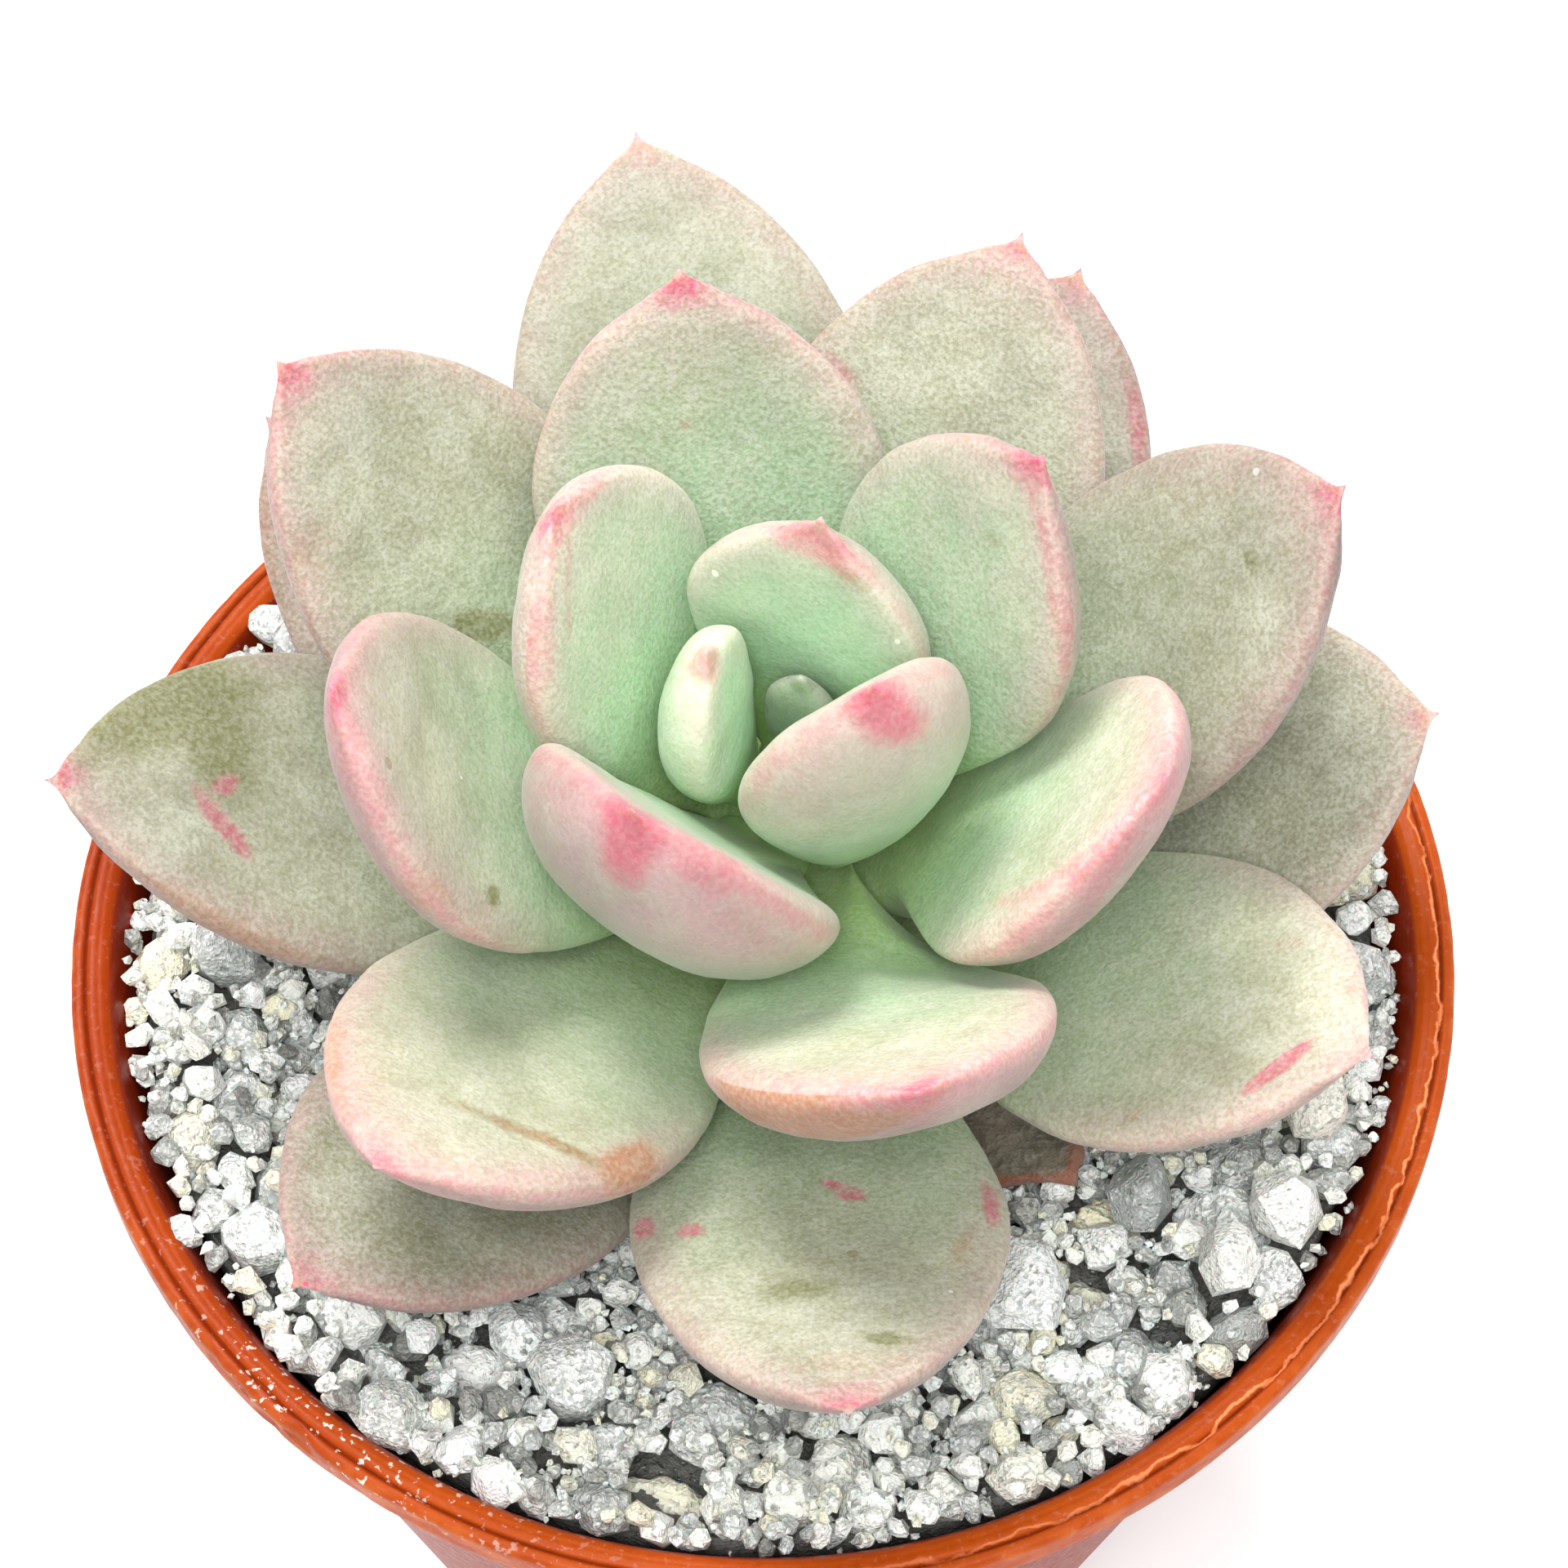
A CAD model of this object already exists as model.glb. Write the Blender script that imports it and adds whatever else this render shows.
import math
import random

import bmesh
import bpy
import numpy as np
from bpy.props import FloatProperty, FloatVectorProperty, IntProperty, PointerProperty
from mathutils import Matrix, Vector, noise
from mathutils.bvhtree import BVHTree


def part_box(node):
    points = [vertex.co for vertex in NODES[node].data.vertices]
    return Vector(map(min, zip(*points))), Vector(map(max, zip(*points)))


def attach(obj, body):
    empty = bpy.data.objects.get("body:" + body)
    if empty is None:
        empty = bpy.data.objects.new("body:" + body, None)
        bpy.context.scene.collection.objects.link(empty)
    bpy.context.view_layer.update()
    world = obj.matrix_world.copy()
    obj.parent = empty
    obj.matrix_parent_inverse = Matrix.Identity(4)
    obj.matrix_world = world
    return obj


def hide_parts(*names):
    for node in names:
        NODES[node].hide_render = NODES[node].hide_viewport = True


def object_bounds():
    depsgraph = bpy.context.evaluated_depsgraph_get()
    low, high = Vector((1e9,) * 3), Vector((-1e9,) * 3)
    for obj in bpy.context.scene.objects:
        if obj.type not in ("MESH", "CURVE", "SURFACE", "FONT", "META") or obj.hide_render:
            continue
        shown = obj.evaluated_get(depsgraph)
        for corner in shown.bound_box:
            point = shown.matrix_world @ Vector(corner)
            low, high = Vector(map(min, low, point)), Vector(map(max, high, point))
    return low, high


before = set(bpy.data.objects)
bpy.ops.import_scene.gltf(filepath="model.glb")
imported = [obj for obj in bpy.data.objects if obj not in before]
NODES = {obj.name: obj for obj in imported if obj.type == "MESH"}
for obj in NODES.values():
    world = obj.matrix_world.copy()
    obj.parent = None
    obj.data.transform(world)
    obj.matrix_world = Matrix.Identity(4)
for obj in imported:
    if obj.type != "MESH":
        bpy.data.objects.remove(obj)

bl_info = {
    "name": "Potted Rosette Succulent",
    "version": (1, 0, 0),
    "blender": (4, 5, 0),
    "location": "3D View > Sidebar > Succulent",
    "description": "A plump-leaved rosette in a small plastic pot, dressed with mineral grit",
    "category": "Object",
}

MM = 0.001
CAD_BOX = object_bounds()
POT_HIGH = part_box("pot")[1]
STEM_LOW, STEM_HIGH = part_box("stem")
BED_LOW, BED_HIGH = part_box("grit_bed")
STEM_MIDDLE = (STEM_LOW + STEM_HIGH) / 2
LEAF_NODES = sorted(name for name in NODES if name.startswith("leaf_"))
STONE_NODES = sorted(name for name in NODES if name.startswith("grit_stone_"))
WITHERED_LEAF = "leaf_23"
YOUNG_LEAVES = LEAF_NODES[:7]
BODY = "root"
GRAVEL_SEED = 23


# ---------------------------------------------------------------------------
# Working in object and edit mode


def only(*pieces):
    """Leaves edit mode and selects these pieces alone, the first of them active."""
    if bpy.context.mode != "OBJECT":
        bpy.ops.object.mode_set(mode="OBJECT")
    bpy.ops.object.select_all(action="DESELECT")
    for piece in pieces:
        piece.select_set(True)
    bpy.context.view_layer.objects.active = pieces[0] if pieces else None


def named(name):
    """Names the primitive that was just added, and its mesh."""
    piece = bpy.context.object
    piece.name = name
    piece.data.name = name
    return piece


def edit(piece, everything=True):
    only(piece)
    bpy.ops.object.mode_set(mode="EDIT")
    bpy.ops.mesh.select_all(action="SELECT" if everything else "DESELECT")


def modify(piece, kind, **settings):
    """Adds a modifier and sets its options."""
    modifier = piece.modifiers.new(kind.lower(), kind)
    for key, value in settings.items():
        setattr(modifier, key, value)


def apply_modifiers(piece):
    only(piece)
    for modifier in list(piece.modifiers):
        bpy.ops.object.modifier_apply(modifier=modifier.name)


def new_object(name, data):
    made = bpy.data.objects.new(name, data)
    bpy.context.scene.collection.objects.link(made)
    return made


def shade(piece, degrees=None):
    only(piece)
    if degrees is None:
        bpy.ops.object.shade_smooth()
    else:
        bpy.ops.object.shade_smooth_by_angle(angle=math.radians(degrees))


def copy_of_node(node_name, name):
    """A merged copy of a CAD node's mesh as a new object."""
    mesh = NODES[node_name].data.copy()
    mesh.name = name
    mesh.materials.clear()
    piece = new_object(name, mesh)
    edit(piece)
    bpy.ops.mesh.remove_doubles(threshold=0.001 * MM)
    bpy.ops.object.mode_set(mode="OBJECT")
    return piece


def read_rows(items, field):
    """A row of three numbers from each of a mesh's items."""
    values = np.empty(len(items) * 3)
    items.foreach_get(field, values)
    return values.reshape(-1, 3)


def points_of(mesh):
    return read_rows(mesh.vertices, "co")


def stored(mesh, name):
    return read_rows(mesh.attributes[name].data, "vector")


def move_points(mesh, points):
    mesh.vertices.foreach_set("co", points.astype(np.float32).ravel())
    mesh.update()


def store(mesh, name, values):
    """Writes one value, or one vector, for each point of a mesh."""
    values = np.asarray(values, dtype=np.float32)
    kind, field = ("FLOAT", "value") if values.ndim == 1 else ("FLOAT_VECTOR", "vector")
    layer = mesh.attributes.get(name) or mesh.attributes.new(name, kind, "POINT")
    layer.data.foreach_set(field, values.ravel())


def store_same(mesh, name, vector):
    """Writes the same vector for every point of a mesh."""
    store(mesh, name, np.tile(vector, (len(mesh.vertices), 1)))


def roughen(mesh, rules, hold=1.0):
    """Moves each point along its normal by sums of noise: (size of a lump, height) pairs."""
    points = points_of(mesh)
    moves = np.zeros(len(points))
    for lump, height in rules:
        step = 1.0 / lump
        moves += height * np.array([noise.noise(Vector(point) * step) for point in points])
    moves *= hold
    move_points(mesh, points + read_rows(mesh.vertex_normals, "vector") * moves[:, None])


def claim(piece, slot, material, *nodes):
    """Gives a finished piece its material, body, slot and the CAD nodes that it stands for."""
    piece.data.materials.clear()
    piece.data.materials.append(material)
    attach(piece, BODY)
    if nodes:
        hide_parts(*nodes)


# ---------------------------------------------------------------------------
# Building node trees


class Net:
    """A node tree with short ways to add its nodes, and the colour laid on so far."""

    def __init__(self, tree):
        self.tree = tree
        self.colour = None

    def put(self, value, socket):
        """Links a node's output to an input, or sets the input to a value."""
        if isinstance(value, bpy.types.NodeSocket):
            self.tree.links.new(value, socket)
        elif socket.type == "RGBA":
            socket.default_value = (*value[:3], 1.0)
        else:
            socket.default_value = value

    def add(self, kind, sockets=None, **settings):
        """Adds a node, sets its options, and sets or links its inputs by name or number."""
        made = self.tree.nodes.new(kind)
        for key, value in settings.items():
            setattr(made, key, value)
        for key, value in (sockets or {}).items():
            self.put(value, made.inputs[key])
        return made

    def math(self, operation, *values, clamp=False):
        sockets = dict(enumerate(values))
        return self.add("ShaderNodeMath", sockets, operation=operation, use_clamp=clamp).outputs[0]

    def vector(self, operation, *values):
        made = self.add("ShaderNodeVectorMath", dict(enumerate(values)), operation=operation)
        return made.outputs["Value" if operation == "LENGTH" else "Vector"]

    def times(self, *values):
        """The product of a few values."""
        product, *others = values
        for value in others:
            product = self.math("MULTIPLY", product, value)
        return product

    def plus(self, first, second, clamp=False):
        return self.math("ADD", first, second, clamp=clamp)

    def minus(self, first, second, clamp=False):
        return self.math("SUBTRACT", first, second, clamp=clamp)

    def spread(self, value, low, high, start=0.0, end=1.0, style="LINEAR"):
        """Maps the span low..high to start..end, and holds it there."""
        sockets = dict(enumerate((value, low, high, start, end)))
        return self.add("ShaderNodeMapRange", sockets, interpolation_type=style).outputs[0]

    def fade(self, value, low, high):
        """Goes from 0 at low to 1 at high with a soft start and end."""
        return self.spread(value, low, high, style="SMOOTHSTEP")

    def between(self, value, start, end):
        """Maps 0..1 to start..end."""
        return self.spread(value, 0.0, 1.0, start, end)

    def blend(self, share, first, second):
        """Mixes two colours."""
        sockets = {0: share, 6: first, 7: second}
        return self.add("ShaderNodeMix", sockets, data_type="RGBA").outputs[2]

    def coat(self, tint, *shares):
        """Lays a tint over the colour so far, as strongly as the product of the shares."""
        self.colour = self.blend(self.times(*shares), self.colour, tint)

    def attribute(self, name, output="Fac"):
        return self.add("ShaderNodeAttribute", attribute_name=name).outputs[output]

    def parts(self, vector):
        return self.add("ShaderNodeSeparateXYZ", {"Vector": vector}).outputs

    def lumps(self, vector, scale, detail):
        """Noise with so many lumps to the metre."""
        sockets = {"Vector": vector, "Scale": scale, "Detail": detail}
        return self.add("ShaderNodeTexNoise", sockets).outputs

    def cells(self, vector, scale):
        """Random cells: the distance from a cell's middle, and three numbers for each cell."""
        sockets = {"Vector": vector, "Scale": scale}
        made = self.add("ShaderNodeTexVoronoi", sockets, feature="F1").outputs
        return made["Distance"], self.add("ShaderNodeSeparateColor", {0: made["Color"]}).outputs

    def use(self, group, sockets):
        return self.add("ShaderNodeGroup", sockets, node_tree=group).outputs

    def speckle(self, vector, scale, low=0.4, high=0.6, detail=2.0):
        sockets = {"Vector": vector, "Scale": scale, "Low": low, "High": high, "Detail": detail}
        return self.use(speckle_group(), sockets)["Mask"]

    def dots(self, vector, scale, size, share):
        sockets = {"Vector": vector, "Scale": scale, "Size": size, "Share": share}
        return self.use(dots_group(), sockets)["Mask"]


FLOAT, COLOUR, VECTOR = "NodeSocketFloat", "NodeSocketColor", "NodeSocketVector"
SURFACE = {"Color": COLOUR, "Height": FLOAT, "Roughness": FLOAT}


class Group(Net):
    """A node group with named inputs, where the vector has no default, and named outputs."""

    def __init__(self, name, inputs, outputs):
        super().__init__(bpy.data.node_groups.new(name, "ShaderNodeTree"))
        sockets = self.tree.interface
        for key, default in inputs.items():
            kind = VECTOR if default is None else FLOAT
            socket = sockets.new_socket(name=key, in_out="INPUT", socket_type=kind)
            if default is not None:
                socket.default_value = default
        for key, kind in outputs.items():
            sockets.new_socket(name=key, in_out="OUTPUT", socket_type=kind)
        self.entry = self.add("NodeGroupInput").outputs
        self.place = self.entry["Vector"]

    def leave(self, **values):
        """Sends values out of the group, and gives the group."""
        self.add("NodeGroupOutput", values)
        return self.tree


class Finish(Net):
    """A material with one Principled shader; plain sets what is the same all over."""

    def __init__(self, name, plain):
        self.material = bpy.data.materials.new(name)
        self.material.use_nodes = True
        super().__init__(self.material.node_tree)
        self.tree.nodes.clear()
        self.shader = self.add("ShaderNodeBsdfPrincipled", plain)
        self.add("ShaderNodeOutputMaterial", {"Surface": self.shader.outputs[0]})
        self.place = self.add("ShaderNodeTexCoord").outputs["Object"]

    def done(self, height=None, strength=1.0, distance=MM, roughness=None):
        """Joins the colour, relief and roughness to the shader, and gives the material."""
        self.put(self.colour, self.shader.inputs["Base Color"])
        if roughness is not None:
            self.put(roughness, self.shader.inputs["Roughness"])
        if height is not None:
            sockets = {"Height": height, "Strength": strength, "Distance": distance}
            self.put(self.add("ShaderNodeBump", sockets).outputs[0], self.shader.inputs["Normal"])
        return self.material


def built_once(build):
    """Makes NAME_group() build its group the first time, and find it from then on."""
    name = build.__name__.removesuffix("_group")
    return lambda *settings: bpy.data.node_groups.get(name) or build(*settings)


@built_once
def speckle_group():
    """Patches of noise: Scale in lumps per metre, and the band of noise that becomes 0..1."""
    inputs = {"Vector": None, "Scale": 500.0, "Detail": 2.0, "Low": 0.4, "High": 0.6}
    net = Group("speckle", inputs, {"Mask": FLOAT})
    lumps = net.lumps(net.place, net.entry["Scale"], net.entry["Detail"])[0]
    return net.leave(Mask=net.spread(lumps, net.entry["Low"], net.entry["High"]))


@built_once
def dots_group():
    """Small round dots scattered thinly: cells per metre, dot size in cells, share of cells."""
    inputs = {"Vector": None, "Scale": 500.0, "Size": 0.2, "Share": 0.2}
    net = Group("dots", inputs, {"Mask": FLOAT})
    distance, picks = net.cells(net.place, net.entry["Scale"])
    near = net.math("LESS_THAN", distance, net.entry["Size"])
    chosen = net.math("LESS_THAN", picks[0], net.entry["Share"])
    return net.leave(Mask=net.times(near, chosen))


# ---------------------------------------------------------------------------
# Settings


def setting(kind, name, description, default, **limits):
    return kind(name=name, description=description, default=default, **limits)


def colour_setting(*told):
    return setting(FloatVectorProperty, *told, subtype="COLOR", size=3, min=0.0, max=1.0)


def length_setting(*told):
    return setting(FloatProperty, *told, unit="LENGTH", min=0.0)


class PotSettings(bpy.types.PropertyGroup):
    foot_radius: length_setting("Foot radius", "Radius of the pot where it stands", 17.0 * MM)
    wall: length_setting("Wall", "Thickness of the pot's wall", 0.7 * MM)
    floor: length_setting("Floor", "Thickness of the pot's floor", 1.2 * MM)
    lip_width: length_setting("Lip width", "Width of the rolled lip seen from above", 1.7 * MM)
    lip_depth: length_setting("Lip depth", "Height of the lip's skirt", 1.6 * MM)
    hole_diameter: length_setting("Hole diameter", "Diameter of each drain hole", 5.0 * MM)
    hole_circle: length_setting("Hole circle", "Distance of the holes from the middle", 11.0 * MM)
    plastic: colour_setting("Plastic", "Colour of the pot's plastic", (0.41, 0.060, 0.002))
    shaded: colour_setting("Shaded plastic", "Colour of its stained parts", (0.21, 0.013, 0.002))


class GritSettings(bpy.types.PropertyGroup):
    seed: setting(IntProperty, "Seed", "Chooses another lie of the grains", GRAVEL_SEED)
    surface_drop: length_setting("Surface drop", "How far the grains lie below the lip", 1.1 * MM)
    white: colour_setting("White grain", "Colour of the clean grains", (0.97, 0.985, 0.96))
    grey: colour_setting("Grey grain", "Colour of the glassy grey grains", (0.38, 0.42, 0.40))
    beige: colour_setting("Beige grain", "Colour of the warm grains", (0.92, 0.85, 0.60))
    earth: colour_setting("Earth", "Colour of the potting mix", (0.05, 0.035, 0.022))


class LeafSettings(bpy.types.PropertyGroup):
    smoothing: setting(IntProperty, "Smoothing", "Subdivision steps", 3, min=1, max=4)
    mint: colour_setting("Mint", "Fresh green of the young leaves", (0.40, 0.68, 0.43))
    sage: colour_setting("Sage", "Grey green of the grown leaves", (0.44, 0.45, 0.29))
    old: colour_setting("Old", "Dull green of the oldest leaves", (0.29, 0.27, 0.19))
    foot: colour_setting("Foot", "Deeper green where a leaf meets the stem", (0.30, 0.52, 0.15))
    bloom: colour_setting("Bloom", "Pale wax that lies on the skin", (0.60, 0.61, 0.48))
    flush: colour_setting("Flush", "Rosy wax on the backs of the leaves", (0.49, 0.37, 0.36))
    blush: colour_setting("Blush", "Pink of the leaf edges", (0.65, 0.29, 0.32))
    tip: colour_setting("Tip", "Strong pink of the leaf tips", (0.66, 0.10, 0.21))
    withered: colour_setting("Withered", "Brown of the dried leaf", (0.085, 0.075, 0.040))


class StageSettings(bpy.types.PropertyGroup):
    floor_tone: colour_setting("Floor", "Colour of the studio floor", (0.94, 0.94, 0.94))
    key_power: setting(FloatProperty, "Key light", "Power of the main light", 2.1, min=0.0)
    sky_strength: setting(FloatProperty, "Sky", "Strength of the even light", 0.60, min=0.0)


# ---------------------------------------------------------------------------
# The pot


def lathe(name, profile, steps):
    """Spins an open profile of (radius, height) points round the upright axis."""
    only()
    bpy.ops.mesh.primitive_plane_add(size=1.0 * MM)
    piece = named(name)
    edit(piece)
    bpy.ops.mesh.merge(type="CENTER")
    start = next(iter(bmesh.from_edit_mesh(piece.data).verts)).co.copy()
    bpy.ops.transform.translate(value=Vector((profile[0][0], 0.0, profile[0][1])) - start)
    for (radius, height), (next_radius, next_height) in zip(profile, profile[1:]):
        step = (next_radius - radius, 0.0, next_height - height)
        bpy.ops.mesh.extrude_region_move(TRANSFORM_OT_translate={"value": step})
    bpy.ops.mesh.select_all(action="SELECT")
    bpy.ops.mesh.spin(steps=steps, angle=math.tau, center=(0.0, 0.0, 0.0), axis=(0.0, 0.0, 1.0))
    bpy.ops.mesh.select_all(action="SELECT")
    bpy.ops.mesh.remove_doubles(threshold=0.002 * MM)
    bpy.ops.mesh.normals_make_consistent(inside=False)
    bpy.ops.object.mode_set(mode="OBJECT")
    return piece


def arc_points(middle, radius, start, end, steps):
    angles = [math.radians(start + (end - start) * step / steps) for step in range(steps + 1)]
    return [(middle[0] + radius * math.cos(a), middle[1] + radius * math.sin(a)) for a in angles]


def line_points(first, last, steps):
    """Points on a straight line, without its first."""
    shares = [step / steps for step in range(1, steps + 1)]
    return [tuple(a + (b - a) * share for a, b in zip(first, last)) for share in shares]


# Bearings round the pot, in degrees: its broken rim, its dull side and the torn film.
WORN_SIDE, DULL_SIDE, FILM_SIDE = 232, 190, 335
# The top of the lip, in millimetres in from the rim and down from the top.
LIP_SHAPE = (
    (0.02, 0.22),
    (0.07, 0.12),
    (0.15, 0.05),
    (0.26, 0.02),
    (0.40, 0.02),
    (0.48, 0.06),
    (0.53, 0.17),
    (0.58, 0.19),
    (0.63, 0.09),
    (0.70, 0.02),
    (0.85, 0.00),
    (1.02, 0.03),
    (1.10, 0.07),
    (1.16, 0.06),
    (1.30, 0.12),
    (1.45, 0.22),
    (1.58, 0.36),
)


def pot_profile(settings):
    """Underside, heel, wall, skirt, a lip with a fine groove, inner wall and floor."""
    top = POT_HIGH.z
    rim = POT_HIGH.x
    inner_lip = rim - settings.lip_width
    slope = (inner_lip + settings.wall - settings.foot_radius) / top

    def wall_at(height):
        return settings.foot_radius + slope * height

    heel = 1.0 * MM
    skirt_low = top - settings.lip_depth
    profile = [(0.0, 0.0)]
    profile += line_points((0.0, 0.0), (settings.foot_radius - heel, 0.0), 12)
    profile += arc_points((wall_at(heel) - heel, heel), heel, -82, 0, 6)
    profile += line_points(profile[-1], (wall_at(skirt_low), skirt_low), 40)
    profile += line_points(profile[-1], (rim - 0.18 * MM, skirt_low), 3)
    profile += arc_points((rim - 0.15 * MM, skirt_low + 0.15 * MM), 0.15 * MM, -70, 0, 3)
    profile += line_points(profile[-1], (rim, top - 0.36 * MM), 4)
    profile += [(rim - inward * MM, top - down * MM) for inward, down in LIP_SHAPE]
    profile.append((inner_lip, top - 0.62 * MM))
    low_wall = (wall_at(skirt_low) - settings.wall, skirt_low)
    profile += line_points(profile[-1], low_wall, 5)
    profile += line_points(low_wall, (wall_at(settings.floor) - settings.wall, settings.floor), 24)
    profile += line_points(profile[-1], (0.0, settings.floor), 10)
    return profile


def round_pot(points):
    """How far each point is from the pot's axis, and its bearing in degrees."""
    x, y = points[:, 0], points[:, 1]
    return np.hypot(x, y), np.degrees(np.arctan2(y, x)) % 360


def wear_lip(mesh):
    """Makes the moulded lip slightly uneven, and breaks its rim on the front left."""
    points = points_of(mesh)
    radius, bearing = round_pot(points)
    on_lip = np.clip((points[:, 2] - (POT_HIGH.z - 2.0 * MM)) / (0.8 * MM), 0, 1)
    on_rim = on_lip * np.clip((radius - (POT_HIGH.x - 0.8 * MM)) / (0.5 * MM), 0, 1)
    for index in np.nonzero(on_lip)[0]:
        place = Vector(points[index])
        wave = noise.noise(place * 260.0) * 0.05 * MM + noise.noise(place * 1400.0) * 0.02 * MM
        points[index, 2] -= on_lip[index] * (abs(wave) + 0.01 * MM)
        if on_rim[index] > 0:
            worn = math.exp(-(((bearing[index] - WORN_SIDE) / 14) ** 2))
            pit = max(0.0, noise.noise(place * 900.0) - 0.05) * (0.25 + 1.1 * worn)
            points[index, 2] -= on_rim[index] * pit * 0.3 * MM
            points[index, :2] *= 1 - on_rim[index] * pit * 0.25 * MM / radius[index]
    move_points(mesh, points)


def torn_film(net):
    """The ragged pale edge of a film left on the lip beside the groove, on the right."""
    inset, raggedness = 1.25 * MM, 1.1 * MM
    flat = net.vector("MULTIPLY", net.place, (1.0, 1.0, 0.0))
    wave = net.lumps(flat, 650.0, 6.0)[0]
    line = net.math("MULTIPLY_ADD", wave, raggedness, POT_HIGH.x - inset)
    apart = net.math("ABSOLUTE", net.minus(net.vector("LENGTH", flat), line), 0.0)
    return net.times(net.spread(apart, 0.09 * MM, 0.03 * MM), net.attribute("film"))


def plastic_material(settings):
    """Thin moulded plastic: mottled, faintly translucent, dusty on top and stained inside."""
    plain = {"Subsurface Weight": 0.05, "Subsurface Scale": 1.0 * MM, "Specular IOR Level": 0.14}
    net = Finish("pot_plastic", plain)
    place, mark, coat = net.place, net.attribute, net.coat
    wide = net.speckle(place, 140.0, 0.35, 0.7)
    fine = net.speckle(place, 2600.0, 0.3, 0.75, 3.0)
    net.colour = settings.plastic
    coat(settings.shaded, wide, 0.35)
    coat((0.66, 0.14, 0.02), fine, 0.14)
    for name, share in (("inside", 0.85), ("dull", 0.5), ("body", 0.85)):
        coat(settings.shaded, mark(name), share)
    coat((0.12, 0.010, 0.006), mark("groove"), 0.9)
    coat((0.86, 0.30, 0.12), torn_film(net), 0.8)
    coat((0.72, 0.20, 0.04), mark("edge"), net.speckle(place, 700.0, 0.42, 0.62), 0.3)
    dust = net.times(mark("dust"), net.speckle(place, 3200.0, 0.60, 0.66, 4.0))
    coat((0.78, 0.68, 0.60), dust)
    coat((0.10, 0.02, 0.01), net.dots(place, 420.0, 0.10, 0.16), 0.7)
    matt = net.plus(net.between(fine, 0.34, 0.52), net.times(dust, 0.4))
    return net.done(net.plus(fine, net.times(wide, 2.0)), 0.25, 0.05 * MM, matt)


def mark_pot(mesh, settings):
    """Stores how strongly each point is stained, dull, grooved, worn, dusty or under the film."""
    points = points_of(mesh)
    height = points[:, 2]
    top, rim = POT_HIGH.z, POT_HIGH.x
    radius, bearing = round_pot(points)
    foot = settings.foot_radius
    slope = (rim - settings.lip_width + settings.wall - foot) / top
    middle = foot + slope * height - settings.wall / 2
    inside = ((radius < middle) & (height < top - 0.35 * MM) & (height > 0.5 * MM)).astype(float)
    groove = np.clip(1 - np.abs(radius - (rim - 0.56 * MM)) / (0.09 * MM), 0, 1)
    lip = (height > top - 0.7 * MM) * 1.0
    turned = (bearing - FILM_SIDE + 180) % 360 - 180
    marks = {
        "dull": np.exp(-(((bearing - DULL_SIDE) / 45) ** 2)),
        "inside": inside,
        "body": (height < top - settings.lip_depth - 0.1 * MM) * (1 - inside),
        "groove": groove * (height > top - 0.4 * MM),
        "edge": np.clip(1 - (rim - radius) / (0.35 * MM), 0, 1) * (height > top - 2.0 * MM),
        "dust": lip * (0.05 + 0.95 * np.exp(-(((bearing - WORN_SIDE) / 15) ** 2))),
        "film": lip * np.clip(1.6 - np.abs(turned) / 40, 0, 1),
    }
    for name, values in marks.items():
        store(mesh, name, values)


class SUCCULENT_OT_pot(bpy.types.Operator):
    """Turns the pot, drills its drain holes and wears its lip"""

    bl_idname = "succulent.pot"
    bl_label = "Pot"

    def execute(self, context):
        settings = context.scene.succulent_pot
        pot = lathe("plastic_pot", pot_profile(settings), 320)
        for number in range(4):
            angle = math.tau * (number + 0.5) / 4
            centre = Vector((math.cos(angle), math.sin(angle), 0.0)) * settings.hole_circle
            only()
            bpy.ops.mesh.primitive_cylinder_add(
                vertices=48, radius=settings.hole_diameter / 2, depth=6.0 * MM, location=centre
            )
            drill = named(f"drill_{number}")
            modify(pot, "BOOLEAN", object=drill, operation="DIFFERENCE", solver="EXACT")
            apply_modifiers(pot)
            bpy.data.objects.remove(drill)
        wear_lip(pot.data)
        mark_pot(pot.data, settings)
        shade(pot, 50)
        claim(pot, "pot_plastic", plastic_material(settings), "pot")
        return {"FINISHED"}


# ---------------------------------------------------------------------------
# Grit and stones


@built_once
def mineral_group(settings):
    """Sugary rock: pale crystals and glassy grey ones, with dirt in the low places."""
    inputs = {"Vector": None, "Crystals": 2600.0, "Greyness": 0.4, "Warmth": 0.2}
    net = Group("mineral", inputs, SURFACE)
    place, coat = net.place, net.coat
    wobble = net.lumps(place, 2200.0, 3.0)["Color"]
    warped = net.vector("MULTIPLY_ADD", wobble, (0.0005, 0.0005, 0.0005), place)
    distance, picks = net.cells(warped, net.entry["Crystals"])
    glassy = net.math("LESS_THAN", picks[0], net.entry["Greyness"])
    net.colour = settings.white
    coat(settings.beige, net.entry["Warmth"])
    coat(settings.grey, glassy, 0.70)
    coat((0.97, 0.98, 0.96), picks[1], 0.3)
    coat(settings.grey, net.speckle(place, 1100.0, 0.50, 0.66, 3.0), 0.2)
    dirt = net.speckle(place, 3800.0, 0.62, 0.70, 3.0)
    coat((0.24, 0.24, 0.19), dirt, 0.4)
    height = net.minus(net.plus(net.times(picks[2], 0.7), distance), dirt)
    return net.leave(Color=net.colour, Height=height, Roughness=net.between(glassy, 0.75, 0.28))


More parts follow.
